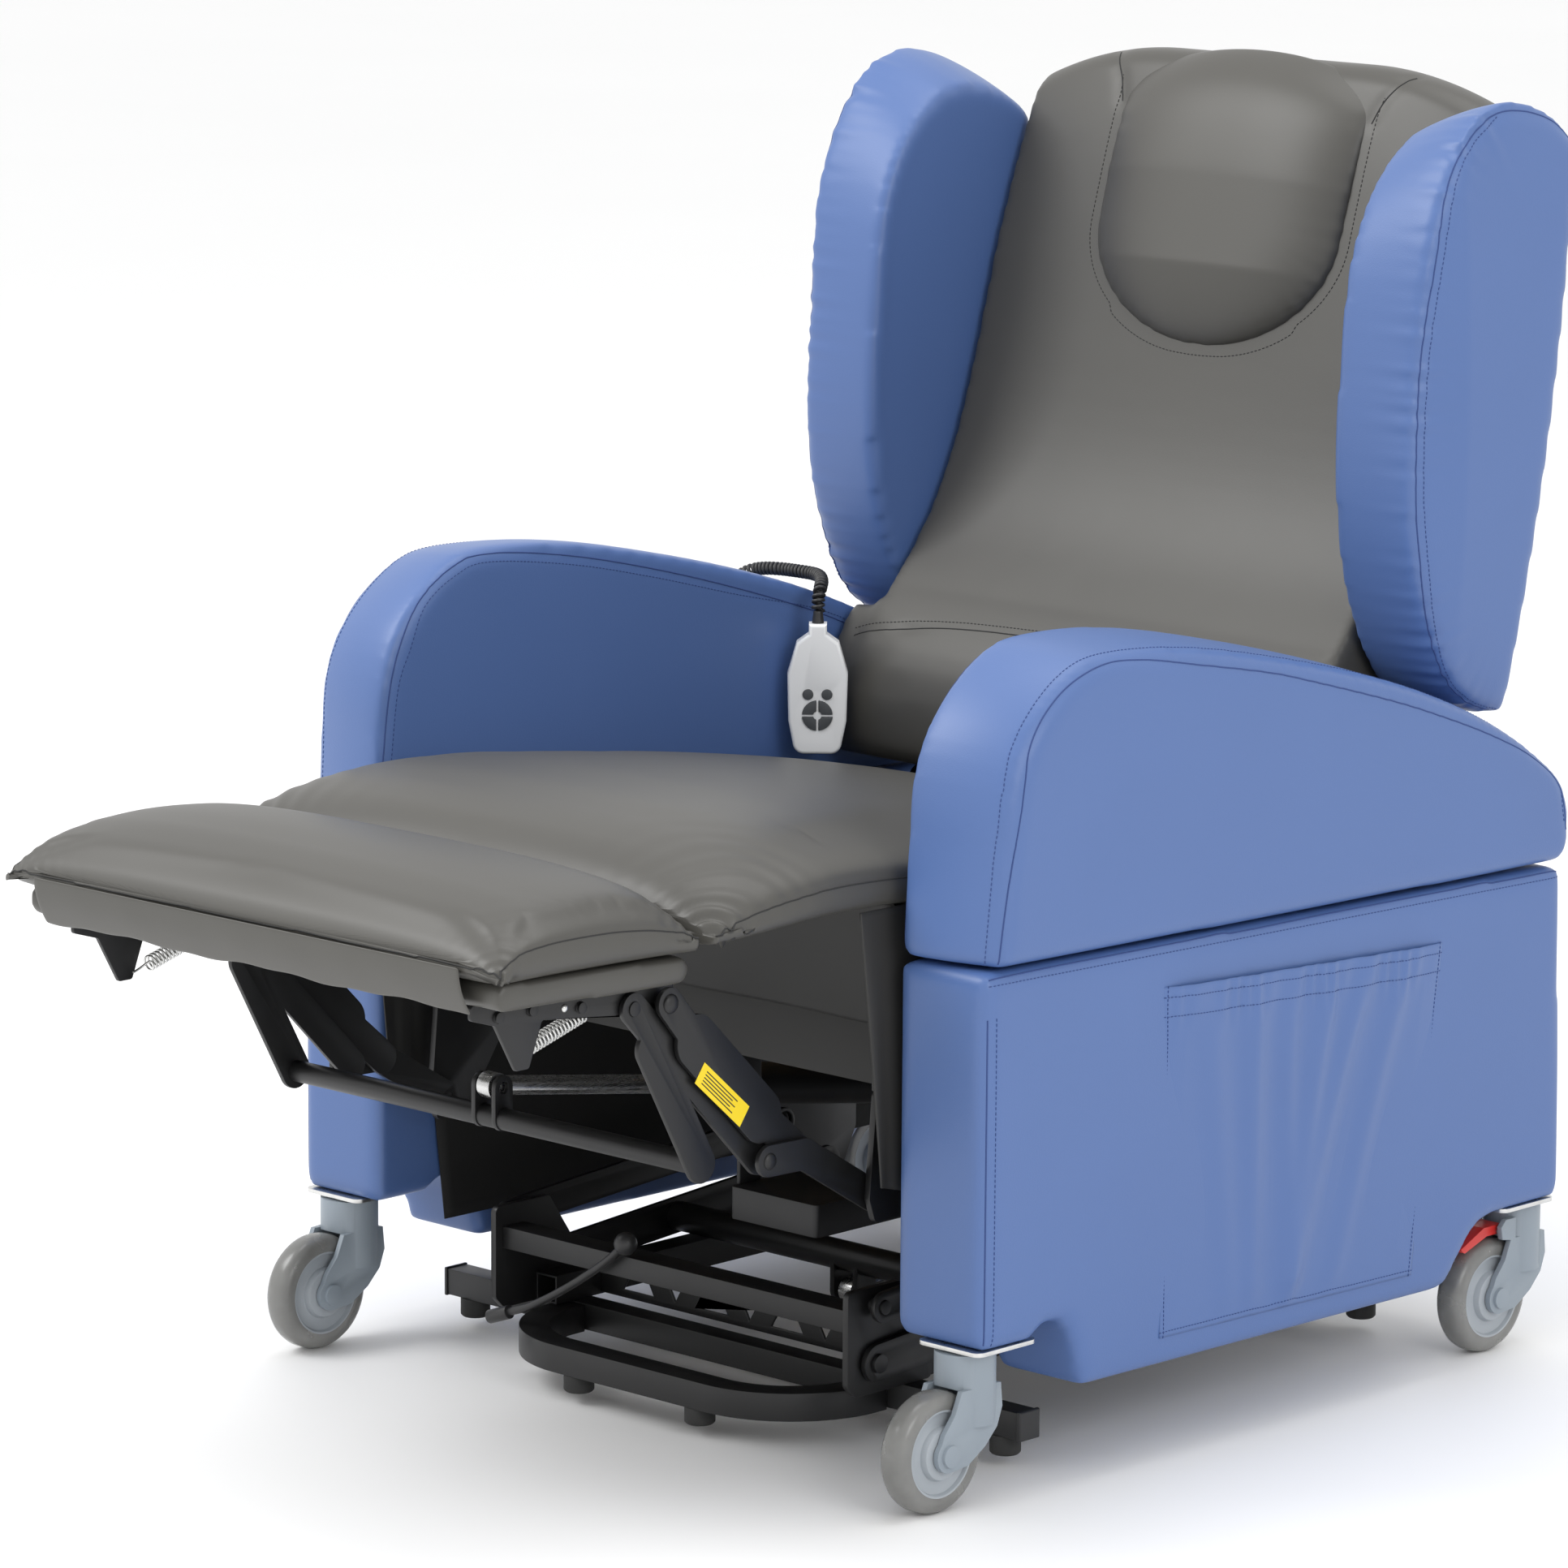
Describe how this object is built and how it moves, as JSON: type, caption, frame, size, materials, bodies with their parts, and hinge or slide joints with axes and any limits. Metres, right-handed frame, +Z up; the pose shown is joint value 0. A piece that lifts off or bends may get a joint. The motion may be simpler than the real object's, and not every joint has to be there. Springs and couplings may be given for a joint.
{
  "type": "patient recliner chair",
  "caption": "Powered care recliner on castors with wing back, padded arms, side pocket, corded handset, rising base, reclining back and folding legrest.",
  "frame": {"origin": "middle of the chair's footprint with the legrest raised, on the floor under the castors", "axes": "+X towards the sitter's left, +Y from the legrest to the back, +Z up"},
  "size_m": [0.8352, 1.2705, 1.0962],
  "materials": {
    "blue_vinyl": "soft-grained blue vinyl-coated upholstery cloth over foam and board",
    "charcoal_vinyl": "smooth charcoal vinyl-coated stretch cloth over foam",
    "pocket_vinyl": "soft-grained blue vinyl-coated cloth",
    "grey_cloth": "dark grey stretch lining cloth",
    "black_paint": "black powder coat on steel tube and plate",
    "motor_housing": "dark grey painted motor housing",
    "rod_steel": "ground steel",
    "zinc": "bright zinc plate",
    "black_plastic": "black moulded plastic",
    "foot_rubber": "black rubber",
    "plywood": "raw birch plywood",
    "castor_plastic": "grey-blue moulded nylon",
    "castor_tyre": "clear grey polyurethane tyre on a grey nylon rim",
    "red_plastic": "red moulded plastic",
    "handset_plastic": "white moulded plastic",
    "key_plastic": "dark grey soft keys",
    "cord_sheath": "black flexible sheath"
  },
  "bodies": {
    "lift_base": {"base_frame": "black_paint", "base_front_loop": "black_paint", "base_tower": "black_paint", "base_lattice": "black_paint", "base_end_caps": "black_plastic", "base_feet": "foot_rubber", "base_lead": "black_plastic"},
    "lift_lower_arms": {"lift_lower_arms": "black_paint"},
    "lift_upper_arms": {"lift_upper_arms": "black_paint"},
    "lift_motor": {"lift_motor": "motor_housing"},
    "lift_rod": {"lift_rod": "rod_steel"},
    "chair_frame": {"seat_frame": "black_paint", "seat_deck": "plywood", "castor_plates": "zinc", "side_panel_left": "blue_vinyl", "side_panel_right": "blue_vinyl", "arm_left": "blue_vinyl", "arm_right": "blue_vinyl", "side_pocket": "pocket_vinyl", "rear_panel": "blue_vinyl", "seat_valance": "grey_cloth", "seat_cushion": "charcoal_vinyl", "knee_cover": "charcoal_vinyl", "control_box": "black_plastic", "cord_glands": "cord_sheath", "handset_cord": "cord_sheath", "handset": "handset_plastic"},
    "backrest": {"back_frame": "black_paint", "back_cover": "blue_vinyl", "back_cushion": "charcoal_vinyl", "head_pillow": "charcoal_vinyl", "wing_left": "blue_vinyl", "wing_right": "blue_vinyl"},
    "recline_motor": {"recline_motor": "motor_housing"},
    "recline_rod": {"recline_rod": "rod_steel"},
    "legrest": {"legrest_board": "charcoal_vinyl", "legrest_pillow": "charcoal_vinyl", "legrest_brackets": "black_paint", "legrest_springs": "zinc"},
    "legrest_lower_links": {"legrest_lower_links": "black_paint"},
    "legrest_wide_links": {"legrest_wide_links": "black_paint"},
    "legrest_second_links": {"legrest_second_links": "black_paint"},
    "legrest_motor": {"legrest_motor": "motor_housing"},
    "legrest_rod": {"legrest_rod": "rod_steel"},
    "castor_front_left_fork": {"castor_front_left_fork": "castor_plastic"},
    "castor_front_left_wheel": {"castor_front_left_wheel": "castor_tyre"},
    "castor_front_right_fork": {"castor_front_right_fork": "castor_plastic"},
    "castor_front_right_wheel": {"castor_front_right_wheel": "castor_tyre"},
    "castor_rear_left_fork": {"castor_rear_left_fork": "castor_plastic"},
    "castor_rear_left_wheel": {"castor_rear_left_wheel": "castor_tyre"},
    "castor_rear_right_fork": {"castor_rear_right_fork": "castor_plastic"},
    "castor_rear_right_wheel": {"castor_rear_right_wheel": "castor_tyre"},
    "brake_pedal_left": {"brake_pedal_left": "red_plastic"},
    "brake_pedal_right": {"brake_pedal_right": "red_plastic"},
    "handset_key_1": {"handset_key_1": "key_plastic"},
    "handset_key_2": {"handset_key_2": "key_plastic"},
    "handset_key_3": {"handset_key_3": "key_plastic"},
    "handset_key_4": {"handset_key_4": "key_plastic"},
    "handset_key_5": {"handset_key_5": "key_plastic"},
    "handset_key_6": {"handset_key_6": "key_plastic"}
  },
  "joints": [
    {"name": "lift", "type": "hinge", "parent": "lift_base", "child": "lift_lower_arms", "pos_m": [0, -0.134, 0.077], "axis": [1, 0, 0], "range_deg": [0, 48]},
    {"name": "chair_tilt", "type": "hinge", "parent": "lift_lower_arms", "child": "chair_frame", "pos_m": [0, 0.258, 0.105], "axis": [1, 0, 0], "range_deg": [-32, 0]},
    {"name": "lift_upper_turn", "type": "hinge", "parent": "lift_base", "child": "lift_upper_arms", "pos_m": [0, -0.134, 0.1253], "axis": [1, 0, 0], "range_deg": [0, 54.06]},
    {"name": "lift_motor_swing", "type": "hinge", "parent": "lift_base", "child": "lift_motor", "pos_m": [0, 0.438, 0.08], "axis": [1, 0, 0], "range_deg": [-20.32, 0]},
    {"name": "lift_rod_slide", "type": "slide", "parent": "lift_motor", "child": "lift_rod", "axis": [0, -0.9989, -0.0476], "range_m": [0, 0.07562]},
    {"name": "backrest_recline", "type": "hinge", "parent": "chair_frame", "child": "backrest", "pos_m": [0, 0.438, 0.42], "axis": [-1, 0, 0], "range_deg": [0, 35]},
    {"name": "recline_motor_swing", "type": "hinge", "parent": "chair_frame", "child": "recline_motor", "pos_m": [0.09, -0.062, 0.318], "axis": [1, 0, 0], "range_deg": [0, 3.61]},
    {"name": "recline_rod_slide", "type": "slide", "parent": "recline_motor", "child": "recline_rod", "axis": [0, 1, 0], "range_m": [-0.055, 0]},
    {"name": "legrest_fold", "type": "hinge", "parent": "chair_frame", "child": "legrest", "pos_m": [0, -0.261, 0.511], "axis": [1, 0, 0], "range_deg": [0, 90], "deforming": ["knee_cover"]},
    {"name": "lower_link_turn", "type": "hinge", "parent": "chair_frame", "child": "legrest_lower_links", "pos_m": [0, -0.179, 0.232], "axis": [1, 0, 0], "range_deg": [0, 167.7]},
    {"name": "wide_link_turn", "type": "hinge", "parent": "legrest", "child": "legrest_wide_links", "pos_m": [0, -0.407, 0.425], "axis": [1, 0, 0], "range_deg": [-117.79, 0]},
    {"name": "second_link_turn", "type": "hinge", "parent": "legrest", "child": "legrest_second_links", "pos_m": [0, -0.441, 0.425], "axis": [1, 0, 0], "range_deg": [-103.59, 0]},
    {"name": "legrest_motor_swing", "type": "hinge", "parent": "chair_frame", "child": "legrest_motor", "pos_m": [0, 0.258, 0.215], "axis": [1, 0, 0], "range_deg": [0, 10.53]},
    {"name": "legrest_rod_slide", "type": "slide", "parent": "legrest_motor", "child": "legrest_rod", "axis": [0, -0.9879, 0.1554], "range_m": [-0.24554, 0]},
    {"name": "castor_front_left_swivel", "type": "hinge", "parent": "chair_frame", "child": "castor_front_left_fork", "pos_m": [0.36, -0.188, 0.1], "axis": [0, 0, 1], "continuous": true},
    {"name": "castor_front_left_roll", "type": "hinge", "parent": "castor_front_left_fork", "child": "castor_front_left_wheel", "pos_m": [0.36, -0.228, 0.05], "axis": [1, 0, 0], "continuous": true},
    {"name": "castor_front_right_swivel", "type": "hinge", "parent": "chair_frame", "child": "castor_front_right_fork", "pos_m": [-0.36, -0.188, 0.1], "axis": [0, 0, 1], "continuous": true},
    {"name": "castor_front_right_roll", "type": "hinge", "parent": "castor_front_right_fork", "child": "castor_front_right_wheel", "pos_m": [-0.36, -0.228, 0.05], "axis": [1, 0, 0], "continuous": true},
    {"name": "castor_rear_left_swivel", "type": "hinge", "parent": "chair_frame", "child": "castor_rear_left_fork", "pos_m": [0.36, 0.515, 0.1], "axis": [0, 0, 1], "continuous": true},
    {"name": "castor_rear_left_roll", "type": "hinge", "parent": "castor_rear_left_fork", "child": "castor_rear_left_wheel", "pos_m": [0.36, 0.475, 0.05], "axis": [1, 0, 0], "continuous": true},
    {"name": "brake_left_press", "type": "hinge", "parent": "castor_rear_left_fork", "child": "brake_pedal_left", "pos_m": [0.36, 0.481, 0.107], "axis": [1, 0, 0], "range_deg": [0, 8]},
    {"name": "castor_rear_right_swivel", "type": "hinge", "parent": "chair_frame", "child": "castor_rear_right_fork", "pos_m": [-0.36, 0.515, 0.1], "axis": [0, 0, 1], "continuous": true},
    {"name": "castor_rear_right_roll", "type": "hinge", "parent": "castor_rear_right_fork", "child": "castor_rear_right_wheel", "pos_m": [-0.36, 0.475, 0.05], "axis": [1, 0, 0], "continuous": true},
    {"name": "brake_right_press", "type": "hinge", "parent": "castor_rear_right_fork", "child": "brake_pedal_right", "pos_m": [-0.36, 0.481, 0.107], "axis": [1, 0, 0], "range_deg": [0, 8]},
    {"name": "handset_key_1_press", "type": "slide", "parent": "chair_frame", "child": "handset_key_1", "axis": [-0.682, 0.7314, 0], "range_m": [0, 0.001], "stiffness_N_per_m": 600, "springref_m": -0.0005},
    {"name": "handset_key_2_press", "type": "slide", "parent": "chair_frame", "child": "handset_key_2", "axis": [-0.682, 0.7314, 0], "range_m": [0, 0.001], "stiffness_N_per_m": 600, "springref_m": -0.0005},
    {"name": "handset_key_3_press", "type": "slide", "parent": "chair_frame", "child": "handset_key_3", "axis": [-0.682, 0.7314, 0], "range_m": [0, 0.001], "stiffness_N_per_m": 600, "springref_m": -0.0005},
    {"name": "handset_key_4_press", "type": "slide", "parent": "chair_frame", "child": "handset_key_4", "axis": [-0.682, 0.7314, 0], "range_m": [0, 0.001], "stiffness_N_per_m": 600, "springref_m": -0.0005},
    {"name": "handset_key_5_press", "type": "slide", "parent": "chair_frame", "child": "handset_key_5", "axis": [-0.682, 0.7314, 0], "range_m": [0, 0.001], "stiffness_N_per_m": 600, "springref_m": -0.0005},
    {"name": "handset_key_6_press", "type": "slide", "parent": "chair_frame", "child": "handset_key_6", "axis": [-0.682, 0.7314, 0], "range_m": [0, 0.001], "stiffness_N_per_m": 600, "springref_m": -0.0005}
  ],
  "couplings": [
    {"joint": "chair_tilt", "follows": "lift", "ratio": -0.66667},
    {"joint": "lift_upper_turn", "follows": "lift", "ratio": 1.1251},
    {"joint": "lift_motor_swing", "follows": "lift", "ratio": -0.42288},
    {"joint": "lift_rod_slide", "follows": "lift", "m_per_rad": 0.090173},
    {"joint": "recline_motor_swing", "follows": "backrest_recline", "ratio": 0.10303},
    {"joint": "recline_rod_slide", "follows": "backrest_recline", "m_per_rad": -0.089939},
    {"joint": "lower_link_turn", "follows": "legrest_fold", "ratio": 1.8614},
    {"joint": "wide_link_turn", "follows": "legrest_fold", "ratio": -1.3074},
    {"joint": "second_link_turn", "follows": "legrest_fold", "ratio": -1.1499},
    {"joint": "legrest_motor_swing", "follows": "legrest_fold", "ratio": 0.1169},
    {"joint": "legrest_rod_slide", "follows": "legrest_fold", "m_per_rad": -0.15616}
  ]
}
